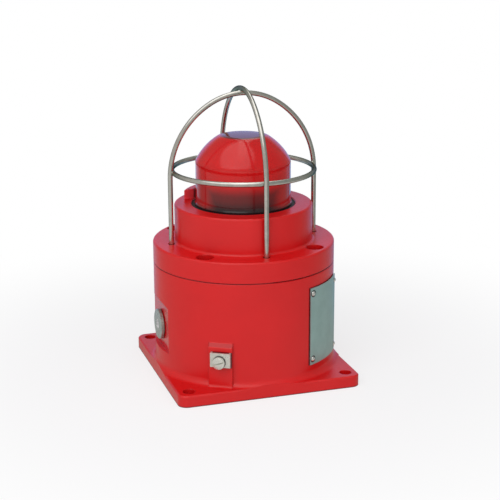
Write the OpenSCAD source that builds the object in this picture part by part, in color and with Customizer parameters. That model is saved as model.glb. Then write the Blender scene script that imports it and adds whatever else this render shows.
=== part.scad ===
// Flameproof xenon beacon light: a round cast drum on a square base, a bolted cover with a
// collar, a red glass dome and a stainless wire guard. The lamp and its electronics stand on a
// chassis inside the drum. Millimetres, +Z up, origin at the centre of the base's underside.
// The front is -Y and the side with the stopping plug is -X. An azimuth is counted from the
// front toward +X, in degrees.

/* [Base] */
// Side of the square base
base_side = 183; // [182:1:200]
// Thickness of the base
base_t = 11.5; // [8:0.5:14]
// Radius of the base's corners
base_corner_r = 9; // [6:1:12]
// Chamfer along the base's top edge
base_chamfer = 1.2; // [0.5:0.1:2]
// Hole to hole distance of the fixing holes
base_hole_pitch = 159; // [158:1:160]
// Diameter of the fixing holes
base_hole_d = 12; // [9:0.5:12]

/* [Drum] */
// Outer diameter of the drum and of the cover's flange
drum_d = 180; // [180:0.5:182]
// Height of the joint between the drum and the cover
seam_z = 114.6; // [114:0.2:118]
// Radius of the fillet round the drum's foot
foot_fillet_r = 6.5; // [4:0.5:8]
// Inner diameter of the wiring chamber
chamber_d = 158; // [156:1:160]
// Diameter of the machined bore that takes the cover's spigot
spigot_bore_d = 132.1; // [132.1:0.1:132.2]
// Height of the chamber's floor
floor_z = 12; // [10:0.5:14]

/* [Cable entries] */
// Distance of the machined entry faces from the axis
entry_face = 85.7; // [85:0.1:87]
// Height of the entries' axis
entry_z = 54; // [52:1:56]
// Thread diameter of the entries
entry_d = 20; // [20:1:25]
// Diameter of the plug's flange
plug_flange_d = 30; // [26:0.5:30]

/* [Earth terminal] */
// Azimuth of the earth terminal's pad
earth_az = -31.3; // [-36:0.1:-28]
// Height of the earth screw
earth_z = 38.7; // [34:0.1:40]
// Distance of the pad's face from the axis
earth_face = 93; // [92:0.5:94]
// Width of the pad
earth_pad_w = 23.6; // [20:0.2:26]

/* [Label plate] */
// Azimuth of the plate's middle
label_az = 45.5; // [42:0.5:50]
// Angle that the plate covers round the drum
label_angle = 36; // [30:1:38]
// Height of the plate
label_h = 78; // [70:1:80]
// Height of the plate's middle
label_z = 63; // [60:1:66]

/* [Cover] */
// Thickness of the cover's flange
flange_t = 20.6; // [19:0.2:24]
// Outer diameter of the collar round the lens
collar_d = 136.6; // [134:0.2:138]
// Height of the collar's top
collar_top_z = 171.8; // [170:0.2:174]
// Diameter of the lens opening in the collar
opening_d = 102.4; // [102:0.2:104]
// Bolt circle diameter of the cover screws
screw_pcd = 156.3; // [155:0.1:157]
// Diameter of the counterbores over the cover screws
counterbore_d = 17.4; // [16:0.2:18]
// Depth of the counterbores
counterbore_h = 15.4; // [14:0.2:16]

/* [Lens] */
// Outer diameter of the lens above its foot
lens_d = 93.6; // [90:0.2:94]
// Height of the shoulder, where the lens starts to slope in
lens_shoulder_z = 214.2; // [208:0.1:218]
// Diameter of the crown's edge
crown_d = 48.6; // [40:0.2:50]
// Height of the crown's edge
crown_z = 238.5; // [234:0.1:240]
// How far the sloping side bulges out from a straight cone
slope_bulge = 2.3; // [0.5:0.1:3]
// Rise of the crown above its edge
crown_rise = 0.8; // [0.5:0.1:2]
// Wall thickness of the lens
lens_t = 3.4; // [3:0.2:4]

/* [Guard] */
// Diameter of the guard's wire
wire_d = 4.8; // [4.6:0.1:5]
// Distance of the upright wires from the axis
guard_reach = 73.7; // [73.6:0.1:74]
// Height at which the wires begin to bend in
spring_z = 200.1; // [198:0.1:202]
// How far the centre of the hoops' side bends lies past the axis
hoop_offset = 8.733; // [8:0.001:10]
// How much higher the front to back hoop crosses over the other
hoop_step = 4.2; // [4:0.1:4.4]
// Height of the guard's ring
ring_z = 205.4; // [202:0.2:208]
// Radius of the guard ring's centre line
ring_r = 69.8; // [69.6:0.1:70.2]

/* [Inside] */
// Height of the chassis plate's underside
chassis_z = 76; // [74:0.5:78]
// Distance of the chassis pillars from the axis
pillar_r = 54; // [50:1:54]
// Height of the circuit board's underside
board_z = 86; // [84:0.5:88]
// Height of the reflector's underside
reflector_z = 162.5; // [160:0.5:163]
// Distance between the legs of the xenon tube
tube_pitch = 20; // [16:1:22]
// Height at which the tube's legs meet its bend
tube_bend_z = 204; // [198:1:208]

/* [Hidden] */

drum_r = drum_d / 2;
top_z = seam_z + flange_t;
collar_r = collar_d / 2;
opening_r = opening_d / 2;
wire_r = wire_d / 2;
slip = 0.05;                      // radial clearance of a running fit
loose = 0.35;                     // radial clearance round a screw or a plug
eps = 1;                          // how far a cutter runs past the face it cuts

// Joint between the drum and the cover
drum_edge_r = 1.2;
cover_edge_r = 0.8;
flange_edge_r = 1.8;
spigot_r = spigot_bore_d / 2 - slip;
spigot_h = 10.6;
groove_z = seam_z - 7;
groove_w = 3;
groove_r = spigot_r - 2.1;
cord_r = 1.05;

// Neck of the drum, where the chamber narrows to the bore
neck_z = 88;
neck_h = 12;

// Cover screws, M8 with socket heads
screw_r = 4;
screw_head_r = 6.5;
screw_head_h = 8;
screw_len = 25;
screw_hex = 6;
spring_washer_r = 7.4;
spring_washer_h = 2;
screw_seat_z = top_z - counterbore_h;
screw_angles = [-45, 45, 135, 225];
tapped_depth = 22;

// Inside steps of the cover, from the lens downwards
lip_z = collar_top_z - 8;
gasket_t = 1.2;
lens_flange_t = 5;
lens_flange_r = 56;
lens_seat_r = 56.6;
ring_thread_r = 59.5;
ring_t = 7;
cover_inner_r = 60.4;
collar_edge_r = 2;
collar_foot_r = 2.5;
lens_flange_top = lip_z - gasket_t;
lens_flange_bottom = lens_flange_top - lens_flange_t;

// Lens outline
lens_r = lens_d / 2;
lens_neck_r = lens_r + 1.2;
lens_neck_z = collar_top_z + 0.6;
flare_r = lens_neck_r - lens_r;
flare_h = 4;
shoulder_round_r = 4;
crown_round_r = 8;

// Cast lug on the collar, a curved block beside the lens opening
lug_az = -135;
lug_angle = 36;
lug_inner_r = opening_r + 0.6;
lug_outer_r = 59.6;
lug_h = 9.8;
lug_edge_r = 1;
lug_bevel = 40;

// Guard feet, in stepped blind holes
foot_hole_r = 3.5;
foot_hole_h = 3;
foot_z = top_z - 14;

// Windows of the entry faces, with a low arch over a straight sill
sill_z = 31.7;
window_top_z = 82.5;
window_arch_r = 75;
entry_boss_r = 17;
entry_boss_end = 68;
plug_flange_t = 3.2;
plug_washer_t = 1;
plug_washer_r = 13;
plug_shank_h = 14;
plug_hex = 10;

// Earth terminal, M6
pad_top_z = 51.5;
pad_ledge_z = 56;
saddle_w = 19.6;
saddle_h = 14;
saddle_t = 1.6;
saddle_shift = [0.7, 1.7];        // from the screw to the plate's middle
saddle_lip = 2.2;
earth_screw_r = 3;
earth_head_r = 5.9;
earth_head_h = 3.9;
earth_washer_t = 1.5;
saddle_face = earth_face + saddle_lip + saddle_t;
earth_head_seat = saddle_face + earth_washer_t;
earth_thread_h = 16;

// Label plate on four cast pips
label_gap = 0.7;
label_t = 0.9;
label_inner_r = drum_r + label_gap;
label_outer_r = label_inner_r + label_t;
rivet_angle = 15.7;
rivet_rise = 33.4;
rivet_r = 1.2;
rivet_head_r = 2.5;
rivet_head_h = 1.5;

// Chassis, board and lamp
chassis_t = 2;
chassis_r = 61;
stud_r = 2;
stud_h = 8;
board_t = 1.6;
board_r = 57;
spacer_r = 48;
lead_y = 30;
terminal_w = 46;
terminal_d = 18;
terminal_h = 19;
terminal_ways = 5;
bracket_t = 2;
capacitor_r = 11;
capacitor_h = 38;
capacitor_x = 30;
capacitor_y = 27;
column_r = 8;
column_wall = 2;
socket_r = 13;
socket_h = 10;
tube_r = 3.6;
electrode_r = 2.6;
reflector_r = 41;
reflector_t = 1.5;
shroud_r = 40;
shroud_h = 17;
board_top = board_z + board_t;
chassis_top = chassis_z + chassis_t;
reflector_top = reflector_z + reflector_t;
internal_earth = [-52, 33];

$fn = 96;

// Fills the inner corner of two walls, in the first quadrant, with a concave round
module fillet_2d(r) {
    difference() {
        square(r);
        translate([r, r]) circle(r);
    }
}

// Upright disc or ring
module ring(outer, inner, h) {
    difference() {
        cylinder(r = outer, h = h);
        translate([0, 0, -eps]) cylinder(r = inner, h = h + 2 * eps);
    }
}

// Places children at an azimuth, with their +Z pointing outward and their +Y up
module outward(az, distance, z) {
    rotate([0, 0, az]) translate([0, -distance, z]) rotate([90, 0, 0]) children();
}

// Solid swept round the axis over an angle, its middle at an azimuth
module sector(az, angle) {
    rotate([0, 0, az - 90 - angle / 2]) rotate_extrude(angle = angle) children();
}

// Square with round corners
module rounded_square(side, r) {
    square([side, side - 2 * r], center = true);
    square([side - 2 * r, side], center = true);
    for (x = [-1, 1], y = [-1, 1]) {
        translate([x, y] * (side / 2 - r)) circle(r);
    }
}

// Hexagonal socket, cut downwards from the origin
module hex_socket(across_flats, depth) {
    translate([0, 0, -depth]) cylinder(d = across_flats / cos(30), h = depth + eps, $fn = 6);
}

// Socket head cap screw, its seat at z = 0 and its head above
module cap_screw(r, len, head_r, head_h, hex) {
    chamfer = 0.8;
    difference() {
        union() {
            translate([0, 0, -len]) cylinder(r = r, h = len + eps);
            cylinder(r = head_r, h = head_h - chamfer);
            translate([0, 0, head_h - chamfer]) cylinder(r1 = head_r, r2 = head_r - chamfer, h = chamfer);
        }
        translate([0, 0, head_h]) hex_socket(hex, head_h * 0.55);
    }
}

// Slotted pan head screw, its seat at z = 0 and its head above
module pan_screw(r, len, head_r, head_h, slot_w) {
    dome_r = 2.4 * head_r;
    difference() {
        union() {
            translate([0, 0, -len]) cylinder(r = r, h = len + head_h / 2);
            intersection() {
                cylinder(r = head_r, h = head_h + eps);
                translate([0, 0, head_h - dome_r]) sphere(dome_r);
            }
        }
        translate([-head_r - eps, -slot_w / 2, head_h * 0.45])
            cube([2 * head_r + 2 * eps, slot_w, head_h]);
    }
}

// Slab of the base, with its top edge chamfered
module base_slab() {
    shoulder_z = base_t - base_chamfer;
    reach = base_side / 2 - base_corner_r;
    half = base_side / 2;
    bevel = [
        [-half, 0], [half, 0],
        [half - base_chamfer, base_chamfer], [base_chamfer - half, base_chamfer]];
    linear_extrude(shoulder_z) rounded_square(base_side, base_corner_r);
    translate([0, 0, shoulder_z]) {
        rotate([90, 0, 0]) linear_extrude(2 * reach, center = true) polygon(bevel);
        rotate([90, 0, 90]) linear_extrude(2 * reach, center = true) polygon(bevel);
        for (x = [-reach, reach], y = [-reach, reach]) {
            translate([x, y, 0])
                cylinder(r1 = base_corner_r, r2 = base_corner_r - base_chamfer, h = base_chamfer);
        }
    }
}

// Outside of the drum, in section, with its foot fillet and the round of its top edge
module drum_section() {
    difference() {
        union() {
            square([drum_r, seam_z]);
            translate([drum_r, base_t]) fillet_2d(foot_fillet_r);
            translate([drum_r - eps, base_t / 2]) square([foot_fillet_r + eps, base_t / 2]);
        }
        translate([drum_r, seam_z]) rotate(180) fillet_2d(drum_edge_r);
    }
}

// Chamber, neck and bore, in section
module chamber_section() {
    bore_r = spigot_bore_d / 2;
    lead_in = 0.8;
    polygon([
        [0, floor_z], [chamber_d / 2, floor_z], [chamber_d / 2, neck_z], [bore_r, neck_z + neck_h],
        [bore_r, seam_z - lead_in], [bore_r + lead_in, seam_z], [bore_r + lead_in, seam_z + eps],
        [0, seam_z + eps]]);
}

// Pad of the earth terminal: a flat face, a sloping top and a small fillet at its foot
module earth_pad() {
    root = drum_r - 5;
    foot_r = 3;
    rotate([0, 0, earth_az]) rotate([90, 0, 90]) linear_extrude(earth_pad_w, center = true) {
        polygon([
            [-root, base_t / 2], [-earth_face, base_t / 2], [-earth_face, pad_top_z],
            [-drum_r, pad_ledge_z], [-root, pad_ledge_z]]);
        translate([-earth_face, base_t]) mirror([1, 0]) fillet_2d(foot_r);
    }
}

// Cutter of an entry face on the +X side: the flat behind an arched window
module entry_window() {
    half_w = 34;
    depth = 20;
    translate([entry_face, 0, 0]) rotate([90, 0, 90]) linear_extrude(depth) intersection() {
        translate([-half_w, sill_z]) square([2 * half_w, window_top_z - sill_z + eps]);
        translate([0, window_top_z - window_arch_r]) circle(window_arch_r);
    }
}

// Things on the +X side, or their mirror image on the -X side
module on_side(side) {
    rotate([0, 0, side > 0 ? 0 : 180]) children();
}

// Cylinder along X from one distance to another, at the entries' height
module entry_cylinder(r, from, to) {
    translate([from, 0, entry_z]) rotate([0, 90, 0]) cylinder(r = r, h = to - from);
}

module body_casting() {
    color("red") difference() {
        union() {
            base_slab();
            intersection() {
                difference() {
                    rotate_extrude() drum_section();
                    rotate_extrude() chamber_section();
                }
                translate([0, 0, seam_z / 2]) cube([base_side, base_side, seam_z], center = true);
            }
            for (side = [-1, 1]) {
                on_side(side) entry_cylinder(entry_boss_r, entry_boss_end, entry_face - 2);
            }
            earth_pad();
            for (a = [-1, 1], z = [-1, 1]) {
                intersection() {
                    outward(label_az + a * rivet_angle, drum_r - 3, label_z + z * rivet_rise)
                        cylinder(r = 4, h = 6);
                    cylinder(r = label_inner_r, h = seam_z);
                }
            }
            translate([internal_earth.x, internal_earth.y, floor_z - eps]) cylinder(r = 7, h = 9);
        }
        for (x = [-1, 1], y = [-1, 1]) {
            translate([x, y] * base_hole_pitch / 2) translate([0, 0, -eps])
                cylinder(d = base_hole_d, h = base_t + foot_fillet_r);
        }
        for (side = [-1, 1]) {
            on_side(side) {
                entry_window();
                entry_cylinder(entry_d / 2, entry_boss_end - eps, entry_face + eps);
            }
        }
        outward(earth_az, earth_face, earth_z) translate([0, 0, -earth_thread_h])
            cylinder(r = earth_screw_r + slip, h = earth_thread_h + eps);
        for (a = [-1, 1], z = [-1, 1]) {
            outward(label_az + a * rivet_angle, drum_r - 5, label_z + z * rivet_rise)
                cylinder(r = rivet_r, h = 8);
        }
        for (a = screw_angles) {
            rotate([0, 0, a]) translate([screw_pcd / 2, 0, seam_z - tapped_depth])
                cylinder(r = screw_r + slip, h = tapped_depth + eps);
        }
        for (a = screw_angles) {
            rotate([0, 0, a]) translate([pillar_r, 0, floor_z - stud_h])
                cylinder(r = stud_r, h = stud_h + eps);
        }
        translate([internal_earth.x, internal_earth.y, floor_z]) cylinder(r = 2.5, h = 12);
    }
}

module label_plate() {
    color("darkseagreen") difference() {
        sector(label_az, label_angle)
            translate([label_inner_r, label_z - label_h / 2]) square([label_t, label_h]);
        for (a = [-1, 1], z = [-1, 1]) {
            outward(label_az + a * rivet_angle, drum_r - 1, label_z + z * rivet_rise)
                cylinder(r = rivet_r, h = 6);
        }
    }
}

// Four drive rivets with round heads
module label_rivets() {
    dome_r = (rivet_head_r * rivet_head_r + rivet_head_h * rivet_head_h) / (2 * rivet_head_h);
    color("gainsboro") for (a = [-1, 1], z = [-1, 1]) {
        outward(label_az + a * rivet_angle, label_outer_r, label_z + z * rivet_rise) {
            translate([0, 0, -5]) cylinder(r = rivet_r, h = 5.4);
            intersection() {
                translate([0, 0, rivet_head_h - dome_r]) sphere(dome_r);
                cylinder(r = rivet_head_r + eps, h = rivet_head_h + eps);
            }
        }
    }
}

// Outside of the cover, in section: flange, collar and the spigot below
module cover_section() {
    difference() {
        union() {
            translate([0, seam_z]) square([drum_r, flange_t]);
            translate([0, seam_z]) square([collar_r, collar_top_z - seam_z]);
            translate([collar_r, top_z]) fillet_2d(collar_foot_r);
            translate([0, seam_z - spigot_h]) square([spigot_r, spigot_h + eps]);
        }
        translate([drum_r, top_z]) rotate(180) fillet_2d(flange_edge_r);
        translate([drum_r, seam_z]) rotate(90) fillet_2d(cover_edge_r);
        translate([collar_r, collar_top_z]) rotate(180) fillet_2d(collar_edge_r);
        translate([groove_r, groove_z - groove_w / 2]) square([3, groove_w]);
        cover_bore_section();
    }
}

// Inside steps of the cover, in section, from the spigot up to the lens opening
module cover_bore_section() {
    inlet = 0.8;
    polygon([
        [0, seam_z - spigot_h - eps], [cover_inner_r, seam_z - spigot_h - eps],
        [cover_inner_r, lens_flange_bottom - ring_t - 4], [ring_thread_r, lens_flange_bottom - ring_t - 4],
        [ring_thread_r, lens_flange_bottom], [lens_seat_r, lens_flange_bottom], [lens_seat_r, lip_z],
        [opening_r, lip_z], [opening_r, collar_top_z - inlet], [opening_r + inlet, collar_top_z],
        [opening_r + inlet, collar_top_z + eps], [0, collar_top_z + eps]]);
}

// Curved block on the collar's top, its ends bevelled so that it narrows towards the opening
module collar_lug() {
    reach = 20;
    difference() {
        sector(lug_az, lug_angle) difference() {
            translate([lug_inner_r, collar_top_z - eps]) square([lug_outer_r - lug_inner_r, lug_h + eps]);
            translate([lug_outer_r, collar_top_z + lug_h]) rotate(180) fillet_2d(lug_edge_r);
            translate([lug_inner_r, collar_top_z + lug_h]) rotate(270) fillet_2d(lug_edge_r);
        }
        for (side = [-1, 1]) {
            rotate([0, 0, lug_az + side * lug_angle / 2])
                translate([0, -lug_outer_r, collar_top_z - 2 * eps])
                    rotate([0, 0, side * lug_bevel]) translate([(side - 1) * reach / 2, -reach / 2, 0])
                        cube([reach, 2 * reach, lug_h + 4 * eps]);
        }
    }
}

module cover_casting() {
    color("crimson") difference() {
        union() {
            rotate_extrude() cover_section();
            collar_lug();
        }
        for (a = screw_angles) {
            rotate([0, 0, a]) translate([screw_pcd / 2, 0, 0]) {
                translate([0, 0, seam_z - eps]) cylinder(r = screw_r + 0.5, h = flange_t);
                translate([0, 0, screw_seat_z]) cylinder(d = counterbore_d, h = counterbore_h + 6);
            }
        }
        for (a = [0, 90, 180, 270]) {
            rotate([0, 0, a]) translate([guard_reach, 0, 0]) {
                translate([0, 0, foot_z]) cylinder(r = wire_r, h = top_z - foot_z);
                translate([0, 0, top_z - foot_hole_h]) cylinder(r = foot_hole_r, h = foot_hole_h + eps);
            }
        }
    }
}

// Seal in the spigot's groove
module cover_o_ring() {
    color("dimgray") rotate_extrude() translate([groove_r + cord_r, groove_z]) circle(cord_r);
}

// Split spring washers under the heads of the cover screws
module cover_spring_washers() {
    split_w = 1.2;
    color("silver") for (a = screw_angles) {
        rotate([0, 0, a]) translate([screw_pcd / 2, 0, screw_seat_z]) difference() {
            ring(spring_washer_r, screw_r + 0.5, spring_washer_h);
            translate([0, -split_w / 2, -eps])
                cube([spring_washer_r + eps, split_w, spring_washer_h + 2 * eps]);
        }
    }
}

// One cover screw, in its counterbore
module cover_screw(angle) {
    color("slategray") rotate([0, 0, angle]) translate([screw_pcd / 2, 0, screw_seat_z + spring_washer_h])
        cap_screw(screw_r, screw_len, screw_head_r, screw_head_h, screw_hex);
}

// Circles of the lens's slope and crown in section, drawn in by the wall's thickness: each one is
// given as [centre, radius]
function slope_circle(inset) =
    let (foot = [lens_r - inset, lens_shoulder_z - inset * 0.35])
    let (edge = [crown_d / 2 - inset * 0.45, crown_z - inset * 0.95])
    let (chord = norm(edge - foot))
    let (along = (edge - foot) / chord)
    let (r = (chord * chord / 4 + slope_bulge * slope_bulge) / (2 * slope_bulge))
    [(foot + edge) / 2 + [-along.y, along.x] * (r - slope_bulge), r];

function crown_circle(inset) =
    let (edge = [crown_d / 2 - inset * 0.45, crown_z - inset * 0.95])
    let (r = (edge.x * edge.x + crown_rise * crown_rise) / (2 * crown_rise))
    [[0, edge.y + crown_rise - r], r];

// Region under the slope and the crown
module dome_section(inset) {
    slope = slope_circle(inset);
    crown = crown_circle(inset);
    intersection() {
        translate([0, lens_neck_z]) square([lens_r - inset, crown_z]);
        translate(slope[0]) circle(slope[1], $fn = 240);
        translate(crown[0]) circle(crown[1], $fn = 360);
    }
}

// Rounds an outer corner: it is cut off up to a circle that touches both of its sides
module rounded_corner(centre, side_a, side_b, r) {
    overlap = 0.005;
    difference() {
        children();
        translate(centre)
            polygon([[0, 0], side_a * (r + eps), (side_a + side_b) * r, side_b * (r + eps)]);
    }
    translate(centre) circle(r + overlap);
}

// Outside of the dome, with its shoulder and the crown's edge rounded
module dome_outside() {
    slope = slope_circle(0);
    crown = crown_circle(0);
    shoulder_x = lens_r - shoulder_round_r;
    shoulder_reach = slope[1] - shoulder_round_r;
    shoulder = [shoulder_x, slope[0].y + sqrt(pow(shoulder_reach, 2) - pow(shoulder_x - slope[0].x, 2))];
    slope_reach = slope[1] - crown_round_r;
    crown_reach = crown[1] - crown_round_r;
    gap = crown[0] - slope[0];
    dist = norm(gap);
    along = (pow(slope_reach, 2) - pow(crown_reach, 2) + dist * dist) / (2 * dist);
    rise = sqrt(slope_reach * slope_reach - along * along);
    edge = slope[0] + gap / dist * along + [-gap.y, gap.x] / dist * rise;
    to_slope = (edge - slope[0]) / slope_reach;
    to_crown = (edge - crown[0]) / crown_reach;
    rounded_corner(shoulder, [1, 0], (shoulder - slope[0]) / shoulder_reach, shoulder_round_r)
        rounded_corner(edge, to_slope, to_crown, crown_round_r) dome_section(0);
}

// Lens: domed top, straight side, a flared foot in the opening and a flange under the lip
module lens() {
    color("red", 0.6) rotate_extrude() difference() {
        union() {
            dome_outside();
            translate([0, lens_flange_bottom])
                square([lens_neck_r, lens_neck_z - lens_flange_bottom + eps / 4]);
            translate([0, lens_flange_bottom]) square([lens_flange_r, lens_flange_t]);
            polygon([
                [lens_r - eps, lens_neck_z], [lens_neck_r, lens_neck_z],
                [lens_r + flare_r * 0.3, lens_neck_z + flare_h * 0.4], [lens_r, lens_neck_z + flare_h],
                [lens_r - eps, lens_neck_z + flare_h]]);
        }
        dome_section(lens_t);
        translate([0, lens_flange_bottom - eps])
            square([lens_r - lens_t, lens_neck_z - lens_flange_bottom + 2 * eps]);
    }
}

// Sealing compound between the lens's foot and the opening
module lens_seal() {
    color("black") translate([0, 0, lip_z]) ring(opening_r, lens_neck_r, collar_top_z - lip_z - 1.4);
}

module lens_gasket() {
    color("dimgray") translate([0, 0, lens_flange_top]) ring(lens_flange_r, lens_neck_r, gasket_t);
}

// Threaded ring that holds the lens up against the lip, with slots for a pin spanner
module lens_retaining_ring() {
    slot_w = 6;
    inner_r = lens_r - 0.4;
    color("silver") difference() {
        translate([0, 0, lens_flange_bottom - ring_t]) ring(ring_thread_r, inner_r, ring_t);
        for (a = [0, 90, 180, 270]) {
            rotate([0, 0, a]) translate([inner_r + 5, -slot_w / 2, lens_flange_bottom - ring_t - eps])
                cube([5, slot_w, 3.5 + eps]);
        }
    }
}

// Hoop of the guard: two uprights, two wide side bends of 60 degrees and a tighter crown
module guard_hoop(lift) {
    bend = 60;
    side_r = guard_reach + hoop_offset;
    crown_r = side_r - hoop_offset / cos(bend);
    crown_centre_z = hoop_offset * tan(bend);
    for (side = [0, 180]) {
        rotate([0, 0, side]) {
            translate([guard_reach, 0, foot_z]) cylinder(r = wire_r, h = spring_z + lift - foot_z);
            translate([-hoop_offset, 0, spring_z + lift]) rotate([90, 0, 0])
                rotate_extrude(angle = bend) translate([side_r, 0]) circle(wire_r, $fn = 24);
        }
    }
    translate([0, 0, spring_z + lift + crown_centre_z]) rotate([90, 0, 0])
        rotate_extrude(angle = 180 - 2 * bend, start = bend) translate([crown_r, 0]) circle(wire_r, $fn = 24);
}

module guard_hoop_left_right() {
    color("lightgray") guard_hoop(0);
}

module guard_hoop_front_back() {
    color("gainsboro") rotate([0, 0, 90]) guard_hoop(hoop_step);
}

module guard_ring() {
    color("silver") translate([0, 0, ring_z]) rotate_extrude()
        translate([ring_r, 0]) circle(wire_r, $fn = 24);
}

// Stopping plug of the left entry, with a hexagon socket in its flange
module stopping_plug() {
    chamfer = 0.7;
    seat = entry_face + plug_washer_t;
    face = seat + plug_flange_t;
    flange_r = plug_flange_d / 2;
    color("silver") on_side(-1) difference() {
        union() {
            entry_cylinder(entry_d / 2 - slip, seat - plug_shank_h, seat + eps);
            entry_cylinder(flange_r, seat, face - chamfer);
            translate([face - chamfer, 0, entry_z]) rotate([0, 90, 0])
                cylinder(r1 = flange_r, r2 = flange_r - chamfer, h = chamfer);
        }
        translate([face, 0, entry_z]) rotate([0, 90, 0]) hex_socket(plug_hex, 9);
    }
}

module plug_washer() {
    color("maroon") on_side(-1) translate([entry_face, 0, entry_z]) rotate([0, 90, 0])
        ring(plug_washer_r, entry_d / 2 + loose, plug_washer_t);
}

// Saddle clamp: a square plate whose two side lips stand on the pad beside the earth wire
module earth_saddle() {
    color("lightgray") outward(earth_az, earth_face, earth_z) difference() {
        translate([saddle_shift.x, saddle_shift.y, 0]) difference() {
            translate([-saddle_w / 2, -saddle_h / 2, 0]) cube([saddle_w, saddle_h, saddle_lip + saddle_t]);
            translate([-saddle_w / 2 + saddle_t, -saddle_h, -eps])
                cube([saddle_w - 2 * saddle_t, 2 * saddle_h, saddle_lip + eps]);
        }
        translate([0, 0, -eps]) cylinder(r = earth_screw_r + loose, h = 10);
    }
}

module earth_spring_washer() {
    split_w = 1;
    outer_r = 6.2;
    color("gray") outward(earth_az, saddle_face, earth_z) difference() {
        ring(outer_r, earth_screw_r + loose, earth_washer_t);
        rotate([0, 0, 50]) translate([0, -split_w / 2, -eps])
            cube([outer_r + eps, split_w, earth_washer_t + 2 * eps]);
    }
}

module earth_screw() {
    slot_tilt = 18;
    color("whitesmoke") outward(earth_az, earth_head_seat, earth_z) rotate([0, 0, slot_tilt])
        pan_screw(earth_screw_r, earth_head_seat - earth_face + 12, earth_head_r, earth_head_h, 1.2);
}

module internal_earth_screw() {
    seat = floor_z + 8 + 1.5;
    color("whitesmoke") translate([internal_earth.x, internal_earth.y, seat]) pan_screw(2.5, 8, 4.6, 3, 1.2);
}

// Ring under the internal earth screw
module internal_earth_ring() {
    color("goldenrod") translate([internal_earth.x, internal_earth.y, floor_z + 8]) ring(5.2, 2.5, 1.5);
}

// Angle bracket on the floor that carries the terminal block
module terminal_bracket() {
    w = terminal_w + 10;
    color("silver") translate([-w / 2, lead_y - terminal_d / 2, floor_z]) {
        cube([w, terminal_d, bracket_t]);
        translate([0, terminal_d - bracket_t, 0]) cube([w, bracket_t, 12]);
    }
}

// Terminal block, open for a wire and a screw at each way
module terminal_block() {
    pitch = terminal_w / terminal_ways;
    base = floor_z + bracket_t;
    depth = terminal_d - bracket_t;
    color("ivory") difference() {
        translate([-terminal_w / 2, lead_y - terminal_d / 2, base]) cube([terminal_w, depth, terminal_h]);
        for (i = [0 : terminal_ways - 1]) {
            translate([(i - (terminal_ways - 1) / 2) * pitch, lead_y - 1, base]) {
                translate([0, 0, terminal_h - 9]) cylinder(r = 2.6, h = 10);
                translate([0, 0, 6]) rotate([90, 0, 0]) cylinder(r = 2.2, h = terminal_d);
            }
        }
    }
}

module terminal_screws() {
    pitch = terminal_w / terminal_ways;
    color("whitesmoke") for (i = [0 : terminal_ways - 1]) {
        translate([(i - (terminal_ways - 1) / 2) * pitch, lead_y - 1, floor_z + bracket_t + terminal_h - 9])
            difference() {
                cylinder(r = 2.3, h = 6);
                translate([-3, -0.4, 5]) cube([6, 0.8, 2]);
            }
    }
}

// Four hexagon pillars, each with a stud in the floor
module chassis_pillars() {
    color("silver") for (a = screw_angles) {
        rotate([0, 0, a]) translate([pillar_r, 0, 0]) difference() {
            union() {
                translate([0, 0, floor_z - stud_h + 1]) cylinder(r = stud_r, h = stud_h);
                translate([0, 0, floor_z]) cylinder(r = 4.6, h = chassis_z - floor_z, $fn = 6);
            }
            translate([0, 0, chassis_z - 10]) cylinder(r = stud_r, h = 11);
        }
    }
}

// Chassis plate, with a slot for the supply leads
module chassis_plate() {
    color("lightsteelblue") difference() {
        translate([0, 0, chassis_z]) cylinder(r = chassis_r, h = chassis_t);
        translate([0, 0, chassis_z - eps]) {
            for (a = screw_angles) {
                rotate([0, 0, a]) translate([pillar_r, 0, 0]) cylinder(r = stud_r, h = 4);
            }
            translate([-11, lead_y - 11, 0]) cube([22, 9, 4]);
            for (a = [0, 90, 180, 270]) {
                rotate([0, 0, a + 20]) translate([spacer_r, 0, 0]) cylinder(r = 1.5, h = 4);
            }
        }
    }
}

module chassis_screws() {
    color("whitesmoke") for (a = screw_angles) {
        rotate([0, 0, a]) translate([pillar_r, 0, chassis_top]) pan_screw(stud_r, 9, 3.8, 2.6, 1);
    }
}

module board_spacers() {
    color("ivory") for (a = [0, 90, 180, 270]) {
        rotate([0, 0, a + 20]) translate([spacer_r, 0, chassis_top]) difference() {
            cylinder(r = 3, h = board_z - chassis_top);
            translate([0, 0, -eps]) cylinder(r = 1.5, h = 20);
        }
    }
}

module circuit_board() {
    color("seagreen") translate([0, 0, board_z]) difference() {
        cylinder(r = board_r, h = board_t);
        translate([0, 0, -eps]) cylinder(r = column_r + 1, h = 4);
        for (a = [0, 90, 180, 270]) {
            rotate([0, 0, a + 20]) translate([spacer_r, 0, -eps]) cylinder(r = 1.5, h = 4);
        }
    }
}

module board_screws() {
    color("whitesmoke") for (a = [0, 90, 180, 270]) {
        rotate([0, 0, a + 20]) translate([spacer_r, 0, board_top]) pan_screw(1.5, 12, 2.8, 2, 0.8);
    }
}

// Two storage capacitors, standing on the board
module storage_capacitors() {
    bead_z = capacitor_h - 5;
    color("midnightblue") for (x = [-1, 1]) {
        translate([x * capacitor_x, capacitor_y, board_top]) rotate_extrude() difference() {
            square([capacitor_r, capacitor_h]);
            translate([capacitor_r + 0.6, bead_z]) circle(1.2);
            translate([-eps, capacitor_h - 0.6]) square([capacitor_r - 1.6 + eps, 2]);
        }
    }
}

// Laminated core of the inverter transformer
module transformer_core() {
    color("gray") translate([0, -32, board_top + 14]) difference() {
        cube([36, 16, 28], center = true);
        for (x = [-9, 9]) {
            translate([x, 0, 0]) cube([7, 20, 16], center = true);
        }
    }
}

// Winding on the core's middle limb
module transformer_winding() {
    color("orange") translate([0, -32, board_top + 14]) difference() {
        cube([24, 24, 15], center = true);
        cube([11, 16, 40], center = true);
        for (y = [-1, 1]) {
            translate([0, y * 16, 0]) cube([30, 10, 5], center = true);
        }
    }
}

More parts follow.
